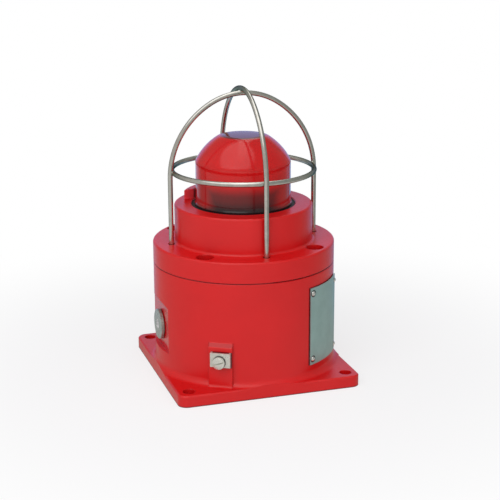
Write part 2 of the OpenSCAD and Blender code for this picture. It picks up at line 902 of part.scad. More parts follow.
// Trigger coil: a flanged bobbin
module trigger_coil() {
    color("darkslategray") translate([36, -16, board_top]) {
        cylinder(r = 8, h = 2);
        cylinder(r = 6.4, h = 20);
        translate([0, 0, 20]) cylinder(r = 8, h = 2);
    }
}

module discharge_resistor() {
    color("beige") translate([-42, -18, board_top]) cube([9, 26, 9]);
}

// Supply leads, from the terminal block straight up to the board
module supply_leads() {
    base = floor_z + bracket_t + terminal_h;
    color("brown") for (x = [-7.2, 0, 7.2]) {
        translate([x, lead_y - 6.5, base]) cylinder(r = 1.3, h = board_z - base);
    }
}

// Hollow column between the chassis plate and the reflector
module lamp_column() {
    foot_r = 16;
    color("silver") translate([0, 0, chassis_top]) rotate_extrude() difference() {
        union() {
            square([column_r, reflector_z - chassis_top]);
            square([foot_r, 3]);
            translate([column_r, 3]) fillet_2d(2);
            translate([0, reflector_z - chassis_top - 2.5]) square([foot_r, 2.5]);
        }
        translate([-eps, -eps]) square([column_r - column_wall + eps, 200]);
    }
}

module reflector() {
    color("white") translate([0, 0, reflector_z]) ring(reflector_r, column_r - column_wall, reflector_t);
}

// Dark insulating wall that stands on the reflector's edge, split down one side
module lamp_shroud() {
    split_w = 1.5;
    color("black") translate([0, 0, reflector_top]) difference() {
        ring(shroud_r, shroud_r - 2, shroud_h);
        rotate([0, 0, -76]) translate([0, -split_w / 2, -eps])
            cube([shroud_r + eps, split_w, shroud_h + 2 * eps]);
    }
}

// Ceramic socket of the tube
module lamp_socket() {
    color("ivory") translate([0, 0, reflector_top]) difference() {
        union() {
            cylinder(r = socket_r + 2, h = 3);
            cylinder(r = socket_r, h = socket_h);
        }
        for (x = [-1, 1]) {
            translate([x * tube_pitch / 2, 0, socket_h - 6]) cylinder(r = electrode_r, h = 8);
        }
    }
}

// U shaped discharge tube
module xenon_tube() {
    foot = reflector_top + socket_h + 2;
    color("lightcyan", 0.6) {
        for (x = [-1, 1]) {
            translate([x * tube_pitch / 2, 0, foot]) cylinder(r = tube_r, h = tube_bend_z - foot);
        }
        translate([0, 0, tube_bend_z]) rotate([90, 0, 0]) rotate_extrude(angle = 180)
            translate([tube_pitch / 2, 0]) circle(tube_r, $fn = 32);
    }
}

// Metal caps between the socket and the tube's legs
module tube_electrodes() {
    color("gold") for (x = [-1, 1]) {
        translate([x * tube_pitch / 2, 0, reflector_top + socket_h - 6]) cylinder(r = electrode_r, h = 8);
    }
}

body_casting();
label_plate();
label_rivets();
cover_casting();
cover_o_ring();
cover_spring_washers();
cover_screw(screw_angles[0]);  // cover_screw_1
cover_screw(screw_angles[1]);  // cover_screw_2
cover_screw(screw_angles[2]);  // cover_screw_3
cover_screw(screw_angles[3]);  // cover_screw_4
lens();
lens_seal();
lens_gasket();
lens_retaining_ring();
guard_hoop_front_back();
guard_hoop_left_right();
guard_ring();
stopping_plug();
plug_washer();
earth_saddle();
earth_spring_washer();
earth_screw();
internal_earth_screw();
internal_earth_ring();
terminal_bracket();
terminal_block();
terminal_screws();
chassis_pillars();
chassis_plate();
chassis_screws();
board_spacers();
circuit_board();
board_screws();
storage_capacitors();
transformer_core();
transformer_winding();
trigger_coil();
discharge_resistor();
supply_leads();
lamp_column();
lamp_shroud();
reflector();
lamp_socket();
xenon_tube();
tube_electrodes();
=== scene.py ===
"""Xenon beacon light: materials, floor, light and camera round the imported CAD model.

Metres and degrees, in the frame of the CAD: +Z is up and the front is -Y.
"""
import math

import bpy
from mathutils import Matrix, Vector

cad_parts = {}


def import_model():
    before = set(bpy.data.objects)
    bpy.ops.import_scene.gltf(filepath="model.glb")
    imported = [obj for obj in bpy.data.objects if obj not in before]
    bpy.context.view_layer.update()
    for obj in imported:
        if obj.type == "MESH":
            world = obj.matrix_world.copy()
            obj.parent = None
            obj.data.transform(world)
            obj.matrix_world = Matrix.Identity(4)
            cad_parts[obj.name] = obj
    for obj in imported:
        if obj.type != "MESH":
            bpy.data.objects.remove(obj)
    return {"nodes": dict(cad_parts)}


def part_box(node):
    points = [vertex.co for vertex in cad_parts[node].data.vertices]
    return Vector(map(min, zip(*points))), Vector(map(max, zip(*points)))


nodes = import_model()["nodes"]
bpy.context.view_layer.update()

MM = 0.001
UP = Vector((0, 0, 1))
WHITE = (1, 1, 1)

# Camera of the photograph: its place round the axis, and its lens and sensor in millimetres
CAMERA_AZIMUTH = -17.13
CAMERA_ELEVATION = 16.23
CAMERA_ROLL = -0.344
CAMERA_DISTANCE = 1313.0 * MM
CAMERA_TARGET_Z = 122.17 * MM
CAMERA_LENS = 94.65
CAMERA_SENSOR = 36
CAMERA_SHIFT_X = 0.0129


def direction(azimuth, elevation=0):
    """Unit vector towards an azimuth, counted from -Y towards +X, and an elevation, in degrees."""
    a, e = math.radians(azimuth), math.radians(elevation)
    return Vector((math.sin(a) * math.cos(e), -math.cos(a) * math.cos(e), math.sin(e)))


def studio(azimuth, elevation=0):
    """Unit vector towards a place in the studio, whose azimuth is counted from the photograph's side."""
    return direction(CAMERA_AZIMUTH + azimuth, elevation)


def extent(name, axis):
    """Middle and half length of a CAD node along an axis."""
    places = [vertex.co.dot(axis) for vertex in nodes[name].data.vertices]
    return (min(places) + max(places)) / 2, (max(places) - min(places)) / 2


def make_camera():
    """Camera at the photograph's viewing angle, rolled a little round its own axis."""
    back = studio(0, CAMERA_ELEVATION)
    right = UP.cross(back).normalized()
    turn = Matrix((right, back.cross(right), back)).transposed().to_4x4()
    roll = Matrix.Rotation(math.radians(CAMERA_ROLL), 4, "Z")
    data = bpy.data.cameras.new("camera")
    data.lens = CAMERA_LENS
    data.sensor_width = CAMERA_SENSOR
    data.shift_x = CAMERA_SHIFT_X
    camera = bpy.data.objects.new("camera", data)
    camera.matrix_world = Matrix.Translation(UP * CAMERA_TARGET_Z + back * CAMERA_DISTANCE) @ turn @ roll
    bpy.context.scene.collection.objects.link(camera)
    bpy.context.scene.camera = camera


# Node trees
NOISE_DETAIL = 3.0
NOISE_ROUGHNESS = 0.55


class Tree:
    """Short calls that build a node tree."""

    def __init__(self, tree):
        self.tree = tree
        tree.nodes.clear()

    def add(self, kind, inputs=None, **settings):
        """New node. Each input is linked to an output or set to a value."""
        node = self.tree.nodes.new("ShaderNode" + kind)
        for name, value in settings.items():
            setattr(node, name, value)
        for name, value in (inputs or {}).items():
            self.put(node.inputs[name], value)
        return node

    def put(self, socket, value):
        """Links a socket to an output, or sets it to a value."""
        if isinstance(value, bpy.types.NodeSocket):
            self.tree.links.new(value, socket)
        elif socket.type == "RGBA":
            socket.default_value = (*value, 1)
        else:
            socket.default_value = value

    def math(self, operation, *values):
        return self.add("Math", dict(enumerate(values)), operation=operation).outputs[0]

    def fold(self, operation, values):
        """One value out of several, taken two at a time."""
        total, *others = values
        for value in others:
            total = self.math(operation, total, value)
        return total

    def product(self, *values):
        return self.fold("MULTIPLY", values)

    def greatest(self, *values):
        return self.fold("MAXIMUM", values)

    def above(self, value, limit):
        return self.math("GREATER_THAN", value, limit)

    def below(self, value, limit):
        return self.math("LESS_THAN", value, limit)

    def gap(self, a, b):
        return self.math("ABSOLUTE", self.math("SUBTRACT", a, b))

    def length(self, a, b):
        return self.math("SQRT", self.math("ADD", self.product(a, a), self.product(b, b)))

    def dot(self, vector, constant):
        node = self.add("VectorMath", {0: vector, 1: tuple(constant)}, operation="DOT_PRODUCT")
        return node.outputs["Value"]

    def step(self, value, limits, start=0.0, end=1.0):
        """Smooth change from start to end as value goes from the lower limit to the higher one."""
        low, high = limits
        inputs = {"Value": value, "From Min": low, "From Max": high, "To Min": start, "To Max": end}
        return self.add("MapRange", inputs, interpolation_type="SMOOTHSTEP", clamp=True).outputs["Result"]

    def fade(self, value, limits, strength=1.0, edge=0.0):
        """Strength up to the lower limit and nothing from the higher one on, both counted from an edge."""
        low, high = limits
        return self.step(value, (edge + low, edge + high), strength, 0.0)

    def blend(self, factor, a, b):
        """Colour a where the factor is 0, and b where it is 1. Socket names repeat, hence the numbers."""
        return self.add("Mix", {0: factor, 6: a, 7: b}, data_type="RGBA").outputs[2]

    def place(self):
        """The point in the row frame: every CAD object and every piece sits at the origin."""
        return self.add("TexCoord").outputs["Object"]

    def axes(self, vector):
        return self.add("SeparateXYZ", {0: vector}).outputs

    def true_normal(self):
        return self.add("NewGeometry").outputs["True Normal"]

    def facing(self):
        """From 0 on a face that is seen square on to 1 on one that is seen at a flat angle."""
        return self.add("LayerWeight", {"Blend": 0.5}).outputs["Facing"]

    def noise(self, scale, detail=NOISE_DETAIL, stretch=None):
        place = self.place()
        if stretch:
            place = self.add("VectorMath", {0: place, 1: stretch}, operation="MULTIPLY").outputs[0]
        inputs = {"Vector": place, "Scale": scale, "Detail": detail, "Roughness": NOISE_ROUGHNESS}
        return self.add("TexNoise", inputs).outputs["Fac"]

    def bump(self, height, distance, normal=None):
        inputs = {"Height": height, "Distance": distance, "Strength": 1.0}
        if normal:
            inputs["Normal"] = normal
        return self.add("Bump", inputs).outputs[0]

    def surface(self, **inputs):
        """Principled shader as the material's surface. Input names have _ for a space."""
        named = {name.replace("_", " "): value for name, value in inputs.items()}
        shader = self.add("BsdfPrincipled", named)
        self.add("OutputMaterial", {0: shader.outputs[0]})


def new_material(name):
    material = bpy.data.materials.new(name)
    material.use_nodes = True
    return material, Tree(material.node_tree)


# Values of a noise between which one tone or gloss turns into another
CLOUDS = (0.3, 0.7)
GRAIN = (0.25, 0.75)
TURNING_MARKS = (0.2, 0.8)

# Painted sheen on the guard's wire, a grey-green tone painted where it is seen at a flat angle: the facing
# at which it begins and is full, and its share of the colour
PAINTED_SHEEN_FACING = (0.40, 0.85)
PAINTED_SHEEN_SHARE = 0.9


def varied(name, light, dark, rough, scale, grain, relief, stretch=None, rim=None, spot=None, **inputs):
    """Material of two near tones, uneven gloss and a fine grain.

    Scale is how fine the patches of the two tones are, grain how fine the grain is, and relief its height
    in millimetres. Stretch makes both longer or shorter along an axis. Rim is the tone of a painted sheen,
    painted on a face that is seen at a flat angle. Spot is a mask, a function of the tree, and the tone
    there.
    """
    material, tree = new_material(name)
    patches = tree.noise(scale, stretch=stretch)
    fine = tree.noise(grain, detail=2, stretch=stretch)
    colour = tree.blend(tree.step(patches, CLOUDS), dark, light)
    # Painted sheen: a tone painted where the face is seen at a flat angle
    if rim:
        colour = tree.blend(tree.step(tree.facing(), PAINTED_SHEEN_FACING, 0, PAINTED_SHEEN_SHARE), colour, rim)
    if spot:
        mask, tone = spot
        colour = tree.blend(mask(tree), colour, tone)
    gloss = tree.step(fine, GRAIN, *rough)
    tree.surface(Base_Color=colour, Roughness=gloss, Normal=tree.bump(fine, relief * MM), **inputs)
    return material


def steel(name, light, dark, rough, **settings):
    return varied(name, light, dark, rough, Metallic=1.0, **settings)


# The drum and its cover: the joint, a radius that parts outside from inside, the bore for the spigot
SEAM_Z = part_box("body_casting")[1].z
DRUM_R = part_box("cover_casting")[1].x
OUTSIDE_R = 85 * MM
BORE_R = 67.5 * MM
BORE_Z = 99.5 * MM

# The collar's top, a radius round the lens opening, and the azimuth that the lug's end faces
COLLAR_Z = 171.8 * MM
OPENING_R = 51.4 * MM
LUG_END_AZIMUTH = 13

# The entry faces on the left and right, and the stopping plug in the left one
ENTRY_FACE = -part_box("plug_washer")[1].x
ENTRY_Z = extent("stopping_plug", UP)[0]
PLUG_FACE = -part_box("stopping_plug")[0].x
PLUG_SOCKET_R = 5.9 * MM

# The label plate and its rivets. Widths are measured round the drum, from the plate's middle
PLATE_AZIMUTH = 45.5
PLATE_R = 91 * MM
PLATE_Z, PLATE_HALF_H = extent("label_plate", UP)
PLATE_HALF_W = 28.6 * MM
RIVET_ACROSS = 24.9 * MM
RIVET_UP = 33.4 * MM

# The earth clamp, and the face and top edge of the pad behind it
CLAMP_AZIMUTH = -31.3
CLAMP_X, CLAMP_HALF_W = extent("earth_saddle", direction(CLAMP_AZIMUTH + 90))
CLAMP_Z, CLAMP_HALF_H = extent("earth_saddle", UP)
PAD_FACE = 93 * MM
LEDGE_Z = 53.8 * MM

# How far beyond a face a mask ends, so that it takes in all of the face, or leaves it out
SKIN = 0.2 * MM
THIN_SKIN = 0.05 * MM
PAD_SKIN = 0.5 * MM
ENTRY_SKIN = 0.04 * MM

# Cosines over which a face is taken to look in a direction
SQUARE_ON = 0.995
NEARLY_SQUARE_ON = 0.95

# Painted shade, a dark tone painted in gaps, round the clamp and along edges where shade falls: its share of
# the colour, and how far from an edge it begins to fade and where it ends
PAINTED_SHADE_SHARE = 0.85
JOINT_SHADE_SHARE = 0.6
LEDGE_SHADE_SHARE = 0.3
JOINT_FADE = (0.35 * MM, 0.95 * MM)
FOOT_FADE = (0.3 * MM, 1.3 * MM)
PLATE_SIDE_FADE = (0.7 * MM, 1.5 * MM)
PLATE_END_FADE = (0.2 * MM, 0.9 * MM)
RIVET_FADE = (2.9 * MM, 4.0 * MM)
CLAMP_FADE = (0.4 * MM, 1.3 * MM)
LEDGE_FADE = (1.3 * MM, 2.0 * MM)
CLAMP_SHADOW_SHIFT = 0.5 * MM


def bare_body(tree, r, z):
    """The machined bore for the cover's spigot, and the top face of the drum."""
    bore = tree.product(tree.below(r, BORE_R), tree.above(z, BORE_Z))
    return tree.greatest(bore, tree.above(z, SEAM_Z - THIN_SKIN))


def bare_cover(tree, r, z):
    """The spigot, and the flange's face that lies on the drum."""
    return tree.below(z, SEAM_Z + THIN_SKIN)


def lug_end_painted_light(tree, r, z):
    """Painted light: the end face of the lug on the collar, which gets a paler tone to look lit."""
    end = tree.above(tree.dot(tree.true_normal(), direction(LUG_END_AZIMUTH)), NEARLY_SQUARE_ON)
    return tree.product(end, tree.above(z, COLLAR_Z + SKIN), tree.above(r, OPENING_R))


def entry_faces(tree, x):
    """The machined faces round the two cable entries."""
    sideways = tree.math("ABSOLUTE", tree.dot(tree.true_normal(), (1, 0, 0)))
    on_face = tree.math("COMPARE", tree.math("ABSOLUTE", x), ENTRY_FACE, ENTRY_SKIN)
    return tree.product(on_face, tree.above(sideways, SQUARE_ON))


def joint_painted_shade(tree, r, z):
    """Painted shade: a dark line painted in the joint between the drum and the cover, where shade falls in
    the gap.
    """
    return tree.product(tree.fade(tree.gap(z, SEAM_Z), JOINT_FADE, JOINT_SHADE_SHARE), tree.above(r, OUTSIDE_R))


def from_plate(tree):
    """How far a point lies from the middle of the label plate, round the drum and upwards."""
    x, y, z = tree.axes(tree.place())
    azimuth = tree.math("ARCTAN2", x, tree.product(y, -1))
    return tree.product(tree.gap(azimuth, math.radians(PLATE_AZIMUTH)), PLATE_R), tree.gap(z, PLATE_Z)


def plate_painted_shadow(tree, r):
    """Painted shadow: a dark line painted on the drum along the plate's edges, for the shadow in the gap
    under them.
    """
    across, up = from_plate(tree)
    return tree.product(tree.fade(across, PLATE_SIDE_FADE, PAINTED_SHADE_SHARE, edge=PLATE_HALF_W),
                        tree.fade(up, PLATE_END_FADE, edge=PLATE_HALF_H), tree.above(r, OUTSIDE_R))


def rivet_painted_shade(tree):
    """Painted shade: a dark ring painted on the plate round each of its rivets."""
    across, up = from_plate(tree)
    away = tree.length(tree.math("SUBTRACT", across, RIVET_ACROSS), tree.math("SUBTRACT", up, RIVET_UP))
    return tree.fade(away, RIVET_FADE)


def clamp_painted_shadow(tree, z):
    """Painted shadow on the pad round the earth clamp, a little more of it to the right and below, where its
    shadow falls.
    """
    place = tree.place()
    across = tree.gap(tree.dot(place, direction(CLAMP_AZIMUTH + 90)), CLAMP_X + CLAMP_SHADOW_SHIFT)
    up = tree.gap(z, CLAMP_Z - CLAMP_SHADOW_SHIFT)
    return tree.product(tree.fade(across, CLAMP_FADE, PAINTED_SHADE_SHARE, edge=CLAMP_HALF_W),
                        tree.fade(up, CLAMP_FADE, edge=CLAMP_HALF_H),
                        tree.above(tree.dot(place, direction(CLAMP_AZIMUTH)), PAD_FACE - PAD_SKIN))


def body_painted_shade(tree, r, z):
    """All the painted shade on the body casting, with painted shade that dulls the light on the top edge of
    the earth pad.
    """
    # Painted shade on the top edge of the earth pad, to dull the light that falls on it
    ledge = tree.fade(tree.gap(z, LEDGE_Z), LEDGE_FADE, LEDGE_SHADE_SHARE)
    ledge = tree.product(ledge, tree.above(r, DRUM_R + SKIN))
    # Painted shade along the bottom edge of the base, where it meets the floor
    foot = tree.fade(z, FOOT_FADE, PAINTED_SHADE_SHARE)
    return tree.greatest(plate_painted_shadow(tree, r), clamp_painted_shadow(tree, z), ledge, joint_painted_shade(tree, r, z), foot)


def plug_socket_highlight(tree):
    """Painted highlight: white painted inside the stopping plug's hexagon socket, for its glint."""
    x, y, z = tree.axes(tree.place())
    away = tree.length(y, tree.math("SUBTRACT", z, ENTRY_Z))
    return tree.product(tree.below(away, PLUG_SOCKET_R), tree.above(x, SKIN - PLUG_FACE))


# Paint: its tones, with a painted light tone and a painted shade tone, and that of the bare metal under it
PAINT = (0.620, 0.0050, 0.0060)
PAINT_DARK = (0.590, 0.0045, 0.0055)
PAINTED_LIGHT_TONE = (0.95, 0.060, 0.075)
PAINTED_SHADE_TONE = (0.070, 0.003, 0.008)
PAINT_ENTRY_FACE = (0.56, 0.006, 0.010)
BARE = (0.62, 0.62, 0.61)

# Gloss of the paint, what turning marks add to it on bare metal, and how much smoother entry faces are
PAINT_ROUGH = (0.29, 0.37)
TURNED_ROUGH = (-0.08, 0.1)
ENTRY_FACE_GLOSS = 0.17

# Relief of the paint: the peel's height, how many times that the casting's own waves are, and the edges
PEEL_HEIGHT = 0.010 * MM
CAST_SHARE = 6
EDGE_ROUNDING = 1.3 * MM


def paint_material(name, bare, painted_shade, painted_light=None):
    """Glossy red paint with a slight orange peel over cast metal.

    Each mask is a function of the tree, the distance from the axis and the height: the first is where the
    metal is machined after painting, the second where painted shade darkens the coat, and the last where
    painted light makes it paler.
    """
    material, tree = new_material(name)
    x, y, z = tree.axes(tree.place())
    r = tree.length(x, y)
    cloud = tree.noise(scale=22, detail=4)
    peel = tree.noise(scale=420, detail=1.5)
    cast = tree.noise(scale=55, detail=2)
    turned = tree.noise(scale=900, detail=1, stretch=(0.15, 0.15, 1))
    colour = tree.blend(tree.step(cloud, CLOUDS), PAINT_DARK, PAINT)
    # Painted light: a paler tone where a face is short of light
    if painted_light:
        colour = tree.blend(painted_light(tree, r, z), colour, PAINTED_LIGHT_TONE)
    # Painted shade: a dark tone painted where shade falls
    colour = tree.blend(painted_shade(tree, r, z), colour, PAINTED_SHADE_TONE)
    smooth = entry_faces(tree, x)
    colour = tree.blend(smooth, colour, PAINT_ENTRY_FACE)
    metal = bare(tree, r, z)
    rough = tree.math("ADD", tree.step(peel, CLOUDS, *PAINT_ROUGH),
                      tree.product(metal, tree.step(turned, TURNING_MARKS, *TURNED_ROUGH)))
    height = tree.math("ADD", tree.product(cast, CAST_SHARE), peel)
    edge = tree.add("Bevel", {"Radius": EDGE_ROUNDING}, samples=4).outputs[0]
    tree.surface(Base_Color=tree.blend(metal, colour, BARE), Metallic=metal,
                 Roughness=tree.math("SUBTRACT", rough, tree.product(smooth, ENTRY_FACE_GLOSS)),
                 Normal=tree.bump(height, PEEL_HEIGHT, normal=edge), Specular_IOR_Level=0.5)
    return material


# The lens: its tones, with the painted shade of its foot and crown, and the heights, radii and facings
# between which they change
LENS_RED = (0.68, 0.010, 0.011)
LENS_RED_DEEP = (0.64, 0.008, 0.009)
LENS_FOOT_SHADE = (0.018, 0.012, 0.014)
LENS_CROWN_SHADE = (0.14, 0.005, 0.009)
FOOT_LINE_Z = (171.5 * MM, 175.5 * MM)
WALL_Z = (172 * MM, 186 * MM)
WALL_TOP_Z = (186 * MM, 199 * MM)
WALL_CLEAR = 0.24
CROWN_Z = (232 * MM, 236 * MM)
CROWN_R = (19 * MM, 24 * MM)
CROWN_RIM_R = (16 * MM, 26 * MM)
CROWN_RIM_DROP = 1.7 * MM
SIDE_FACING = (0.12, 0.46)
SIDE_CLEAR = 0.75
LENS_WAVES = 0.05 * MM


def lens_material():
    """Red glass with a clear gloss. Painted shade darkens it towards its foot, for the dark shroud inside
    seen through the glass, and on its flat crown, where little light comes back; the crown's rim rolls over
    softly."""
    material, tree = new_material("lens_glass")
    x, y, height = tree.axes(tree.place())
    r = tree.length(x, y)
    waves = tree.noise(scale=28, detail=2)
    tone = tree.noise(scale=40, detail=2)
    red = tree.blend(tree.step(tone, CLOUDS), LENS_RED_DEEP, LENS_RED)
    clear = tree.math("ADD", tree.step(height, WALL_TOP_Z, 0, 1 - WALL_CLEAR),
                      tree.step(height, WALL_Z, 0, WALL_CLEAR))
    clear = tree.greatest(clear, tree.step(tree.facing(), SIDE_FACING, 0, SIDE_CLEAR))
    # Painted shade towards the foot, kept off the sides that are seen at a flat angle
    red = tree.blend(tree.product(clear, tree.step(height, FOOT_LINE_Z)), LENS_FOOT_SHADE, red)
    # Painted shade on the flat crown
    crown = tree.product(tree.step(height, CROWN_Z), tree.fade(r, CROWN_R))
    rim = tree.bump(tree.fade(r, CROWN_RIM_R), CROWN_RIM_DROP)
    tree.surface(Base_Color=tree.blend(crown, red, LENS_CROWN_SHADE), Roughness=0.10, Transmission_Weight=0.2,
                 IOR=1.5, Normal=tree.bump(waves, LENS_WAVES, normal=rim))
    return material


# The discharge tube
QUARTZ = (0.95, 0.97, 1.0)
QUARTZ_SMOKY = (0.80, 0.86, 0.90)
TUBE_WAVES = 0.02 * MM


def tube_material():
    """Clear quartz with a faint smoky tone."""
    material, tree = new_material("tube_glass")
    smoke = tree.noise(scale=120, detail=2)
    tree.surface(Base_Color=tree.blend(tree.step(smoke, CLOUDS), QUARTZ_SMOKY, QUARTZ), Roughness=0.04,
                 Transmission_Weight=0.9, IOR=1.46, Normal=tree.bump(smoke, TUBE_WAVES))
    return material


# The circuit board: its tones and gloss, and the values of the two patterns over which a track shows
BOARD_GREEN = (0.012, 0.13, 0.045)
BOARD_ROUGH = 0.38
TRACK_TIN = (0.30, 0.42, 0.26)
TRACK_ROUGH = 0.28
TRACK_WAVE = 0.82
TRACK_CELL = 0.18
TRACK_HEIGHT = 0.03 * MM


def board_material():
    """Green board with tinned tracks."""
    material, tree = new_material("board")
    place = tree.place()
    cells = tree.add("TexVoronoi", {"Vector": place, "Scale": 160}, feature="F1", distance="CHEBYCHEV")
    lines = tree.add("TexWave", {"Vector": place, "Scale": 60, "Distortion": 6, "Detail": 0})
    track = tree.product(tree.above(lines.outputs["Fac"], TRACK_WAVE),
                         tree.above(cells.outputs["Distance"], TRACK_CELL))
    tree.surface(Base_Color=tree.blend(track, BOARD_GREEN, TRACK_TIN),
                 Roughness=tree.step(track, (0, 1), BOARD_ROUGH, TRACK_ROUGH),
                 Normal=tree.bump(track, TRACK_HEIGHT))
    return material


def dress(material, *names):
    """Gives CAD nodes their material."""
    for name in names:
        materials = nodes[name].data.materials
        if not materials:
            materials.append(material)
        for i in range(len(materials)):
            materials[i] = material


def dress_outside():
    """The castings, guard, lens and plate, and the small pieces on and between them."""
    dress(paint_material("body_paint", bare_body, body_painted_shade), "body_casting")
    dress(paint_material("cover_paint", bare_cover, joint_painted_shade, painted_light=lug_end_painted_light), "cover_casting")
    # The guard's rim tone is a painted sheen on the wire's edges
    dress(steel("guard_steel", light=(0.72, 0.71, 0.67), dark=(0.62, 0.615, 0.58), rough=(0.18, 0.26),
                scale=160, grain=700, relief=0.003, rim=(0.46, 0.51, 0.37),
                Specular_Tint=(0.15, 0.15, 0.14)),
          "guard_hoop_front_back", "guard_hoop_left_right", "guard_ring")
    # The plate's spot is painted shade round its rivets
    dress(varied("plate_steel", light=(0.37, 0.54, 0.515), dark=(0.33, 0.49, 0.465), rough=(0.42, 0.52),
                 scale=70, grain=2600, relief=0.012, spot=(rivet_painted_shade, (0.02, 0.03, 0.03)), Metallic=0.6),
          "label_plate")
    dress(varied("zinc", light=(0.82, 0.83, 0.76), dark=(0.70, 0.71, 0.64), rough=(0.26, 0.40),
                 scale=260, grain=900, relief=0.006, Metallic=0.65),
          "earth_saddle", "earth_screw")
    # The plug's spot is a painted highlight in its socket
    dress(varied("plug_zinc", light=(0.44, 0.50, 0.46), dark=(0.32, 0.37, 0.34), rough=(0.24, 0.38),
                 scale=220, grain=900, relief=0.006, spot=(plug_socket_highlight, WHITE), Metallic=0.65),
          "stopping_plug")
    dress(steel("bright_steel", light=(0.95, 0.95, 0.93), dark=(0.84, 0.84, 0.82), rough=(0.12, 0.22),
                scale=220, grain=900, relief=0.006),
          "label_rivets", "internal_earth_screw")
    dress(steel("black_steel", light=(0.075, 0.075, 0.080), dark=(0.04, 0.04, 0.043), rough=(0.35, 0.5),
                scale=200, grain=1500, relief=0.01),
          "cover_screw_1", "cover_screw_2", "cover_screw_3", "cover_screw_4", "earth_spring_washer")
    dress(steel("plated_steel", light=(0.66, 0.66, 0.62), dark=(0.52, 0.53, 0.52), rough=(0.24, 0.4),
                scale=150, grain=1200, relief=0.008),
          "cover_spring_washers", "chassis_pillars", "chassis_screws", "board_screws", "terminal_screws",
          "terminal_bracket")
    dress(lens_material(), "lens")
    dress(varied("black_rubber", light=(0.022, 0.022, 0.022), dark=(0.012, 0.012, 0.012), rough=(0.55, 0.75),
                 scale=200, grain=1800, relief=0.02),
          "cover_o_ring", "lens_gasket", "lens_seal")
    dress(varied("fibre", light=(0.36, 0.085, 0.05), dark=(0.25, 0.05, 0.03), rough=(0.6, 0.8),
                 scale=500, grain=2200, relief=0.02),
          "plug_washer")


def dress_inside():
    """The pieces in the drum and under the lens."""
    dress(steel("bare_aluminium", light=(0.76, 0.77, 0.78), dark=(0.64, 0.65, 0.66), rough=(0.28, 0.46),
                scale=120, grain=1400, relief=0.008, stretch=(1, 1, 0.2)),
          "lens_retaining_ring", "chassis_plate", "lamp_column")
    dress(steel("brass", light=(0.72, 0.50, 0.19), dark=(0.58, 0.38, 0.13), rough=(0.25, 0.4),
                scale=300, grain=1500, relief=0.008),
          "internal_earth_ring")
    dress(varied("ceramic", light=(0.80, 0.77, 0.68), dark=(0.73, 0.69, 0.60), rough=(0.25, 0.4),
                 scale=150, grain=900, relief=0.012),
          "lamp_socket")
    dress(varied("white_plastic", light=(0.78, 0.76, 0.69), dark=(0.71, 0.68, 0.60), rough=(0.4, 0.55),
                 scale=200, grain=1300, relief=0.012),
          "terminal_block", "board_spacers", "discharge_resistor")
    dress(board_material(), "circuit_board")
    dress(varied("capacitor_sleeve", light=(0.025, 0.045, 0.15), dark=(0.018, 0.032, 0.11),
                 rough=(0.2, 0.32), scale=90, grain=700, relief=0.015),
          "storage_capacitors")
    dress(varied("core_iron", light=(0.15, 0.15, 0.155), dark=(0.08, 0.08, 0.085), rough=(0.5, 0.7),
                 scale=60, grain=1800, relief=0.03, stretch=(0.2, 3, 0.2), Metallic=0.6),
          "transformer_core")
    dress(varied("winding_tape", light=(0.72, 0.46, 0.09), dark=(0.60, 0.36, 0.06), rough=(0.25, 0.4),
                 scale=120, grain=900, relief=0.02, stretch=(1, 1, 4)),
          "transformer_winding")
    dress(varied("dark_plastic", light=(0.022, 0.021, 0.020), dark=(0.013, 0.012, 0.012), rough=(0.4, 0.55),
                 scale=150, grain=900, relief=0.015),
          "trigger_coil", "lamp_shroud")
    dress(varied("lead_sleeve", light=(0.30, 0.11, 0.045), dark=(0.24, 0.08, 0.03), rough=(0.3, 0.45),
                 scale=300, grain=1200, relief=0.01),
          "supply_leads")
    dress(varied("reflector_white", light=(0.84, 0.84, 0.82), dark=(0.77, 0.77, 0.75), rough=(0.2, 0.35),
                 scale=70, grain=600, relief=0.01),
          "reflector")
    dress(tube_material(), "xenon_tube")
    dress(steel("electrode", light=(0.58, 0.52, 0.43), dark=(0.44, 0.39, 0.32), rough=(0.25, 0.4),
                scale=400, grain=1500, relief=0.006),
          "tube_electrodes")


# The studio that gloss sees. Limits and widths are cosines, and heights sines, between which a part fades
ROOM = (0.50, 0.48, 0.45)
ROOM_FAR = (0.64, 0.64, 0.61)
ROOM_RIGHT = (0.28, 0.29, 0.27)
ROOM_LEFT_SIDE = studio(-40)
ROOM_LIMITS = (-0.2, 0.5)
BACKDROP = (0.46, 0.52, 0.90)
BACKDROP_HIGH = (0.42, 0.45, 0.47)
BEHIND = studio(180)
BACKDROP_LIMITS = (0.68, 0.92)
BACKDROP_HEIGHTS = (0.34, 0.55)
BACKDROP_TONE_HEIGHTS = (0.26, 0.44)
SOFTBOX = (1.32, 1.30, 1.27)
SOFTBOX_MIDDLE = studio(-30, 66)
SOFTBOX_LIMITS = (0.80, 0.88)
STRIP = (1.8, 1.76, 1.7)
STRIP_MIDDLE = studio(175, 72)
STRIP_SIDE = studio(85)
STRIP_WIDTHS = (0.10, 0.20)
STRIP_LIMITS = (0.60, 0.95)

# The soft light of the room, the side that it comes from, and the cosines between which it falls
AMBIENT = (0.70, 0.69, 0.70)
AMBIENT_BACK = (0.33, 0.32, 0.34)
AMBIENT_SIDE = studio(-15, 20)
LIGHT_LIMITS = (-0.5, 0.6)

# The floor: its tones, and the radii and cosines between which they change
FLOOR_HALF = 3.0
FLOOR_DROP = 0.3 * MM
FLOOR = (0.80, 0.80, 0.82)
FLOOR_DIM = (0.34, 0.34, 0.36)
FLOOR_FRONT = studio(-15)
SHADOW_R = (0.16, 0.5)
SHADOW_WHITE = 0.72
FAR_R = (0.42, 0.62)
FAR_LIMITS = (0.3, 0.75)
FLOOR_BACK_LEFT = (0.58, 0.74, 1.00)
FLOOR_BACK_RIGHT = (0.24, 0.56, 0.92)
RIGHT_SIDE = studio(90)
BACK_SIDES = (-0.3, 0.3)
BACK_LIMITS = (0.45, 0.95)


